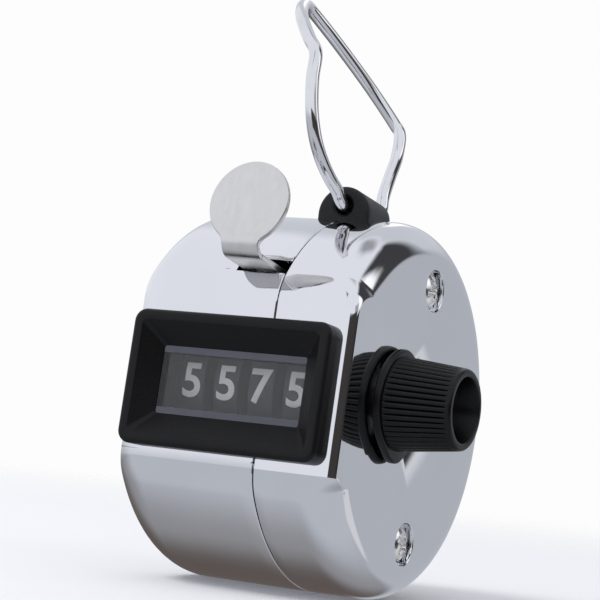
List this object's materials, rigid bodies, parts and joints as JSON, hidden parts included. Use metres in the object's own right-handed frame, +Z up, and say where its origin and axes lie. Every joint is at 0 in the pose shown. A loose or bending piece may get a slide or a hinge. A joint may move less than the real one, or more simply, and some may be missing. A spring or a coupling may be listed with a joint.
{
  "type": "hand tally counter",
  "caption": "Round metal-cased hand tally counter with number wheels behind a framed window, a thumb lever, a ribbed reset knob and a folding wire finger ring.",
  "frame": {"origin": "centre of the drum, on its axis at half its width", "axes": "+X along the drum's axis towards the reset knob, +Y to the back, -Y out of the number window, +Z up through the crest to the finger ring"},
  "size_m": [0.039, 0.0457, 0.0733],
  "materials": {
    "chrome_shell": "mirror polished plating",
    "chrome_wire": "mirror polished plating",
    "satin_nickel": "satin nickel",
    "steel": "bright steel",
    "nickel_screw": "bright nickel",
    "black_plastic": "satin moulded",
    "black_gloss": "glossy moulded",
    "charcoal_plastic": "matt moulded",
    "clear": "clear moulded",
    "wheel_plastic": "matt moulded with light figures",
    "ratchet_plastic": "natural moulded",
    "spring_steel": "bright spring steel"
  },
  "bodies": {
    "case": {"left_shell": "chrome_shell", "right_shell": "chrome_shell", "window_frame": "black_plastic", "window_lens": "clear", "left_frame_plate": "steel", "right_frame_plate": "steel", "frame_posts": "steel", "left_standoffs": "steel", "right_standoffs": "steel", "case_screws": "nickel_screw", "lever_pin": "steel", "detent_spring": "spring_steel", "spring_anchor": "steel", "return_spring": "spring_steel", "ring_lug": "charcoal_plastic"},
    "thousands": {"thousands_wheel": "wheel_plastic", "thousands_ratchet": "ratchet_plastic", "thousands_catch": "spring_steel"},
    "hundreds": {"hundreds_wheel": "wheel_plastic", "hundreds_ratchet": "ratchet_plastic", "hundreds_catch": "spring_steel"},
    "tens": {"tens_wheel": "wheel_plastic", "tens_ratchet": "ratchet_plastic", "tens_catch": "spring_steel"},
    "units": {"units_wheel": "wheel_plastic", "units_ratchet": "ratchet_plastic", "units_catch": "spring_steel"},
    "reset": {"wheel_shaft": "steel", "shaft_clip": "spring_steel", "reset_knob": "black_gloss"},
    "lever": {"thumb_lever": "satin_nickel", "pawl_pin": "steel", "pawl_spring": "spring_steel"},
    "pawl": {"feed_pawl": "steel"},
    "ring": {"finger_ring": "chrome_wire"}
  },
  "joints": [
    {"name": "thousands_turn", "type": "hinge", "parent": "case", "child": "thousands", "pos_m": [0, -0.00695, 0.00079], "axis": [1, 0, 0], "continuous": true},
    {"name": "hundreds_turn", "type": "hinge", "parent": "case", "child": "hundreds", "pos_m": [0, -0.00695, 0.00079], "axis": [1, 0, 0], "continuous": true},
    {"name": "tens_turn", "type": "hinge", "parent": "case", "child": "tens", "pos_m": [0, -0.00695, 0.00079], "axis": [1, 0, 0], "continuous": true},
    {"name": "units_turn", "type": "hinge", "parent": "case", "child": "units", "pos_m": [0, -0.00695, 0.00079], "axis": [1, 0, 0], "continuous": true},
    {"name": "reset_turn", "type": "hinge", "parent": "case", "child": "reset", "pos_m": [0, -0.00695, 0.00079], "axis": [1, 0, 0], "continuous": true},
    {"name": "lever_press", "type": "hinge", "parent": "case", "child": "lever", "pos_m": [0, -0.013, 0.01225], "axis": [1, 0, 0], "range_deg": [0, 10], "stiffness_Nm_per_rad": 0.15, "springref_deg": -8.59, "deforming": ["return_spring"]},
    {"name": "pawl_swing", "type": "hinge", "parent": "lever", "child": "pawl", "pos_m": [0, 0.002, 0.0115], "axis": [1, 0, 0], "range_deg": [-7, 0]},
    {"name": "ring_fold", "type": "hinge", "parent": "case", "child": "ring", "pos_m": [0.00485, 0, 0.02375], "axis": [0, 1, 0], "range_deg": [-84, 96]}
  ],
  "couplings": [
    {"joint": "tens_turn", "follows": "units_turn", "ratio": 0.1},
    {"joint": "hundreds_turn", "follows": "units_turn", "ratio": 0.01},
    {"joint": "thousands_turn", "follows": "units_turn", "ratio": 0.001},
    {"joint": "pawl_swing", "follows": "lever_press", "ratio": -0.7}
  ]
}
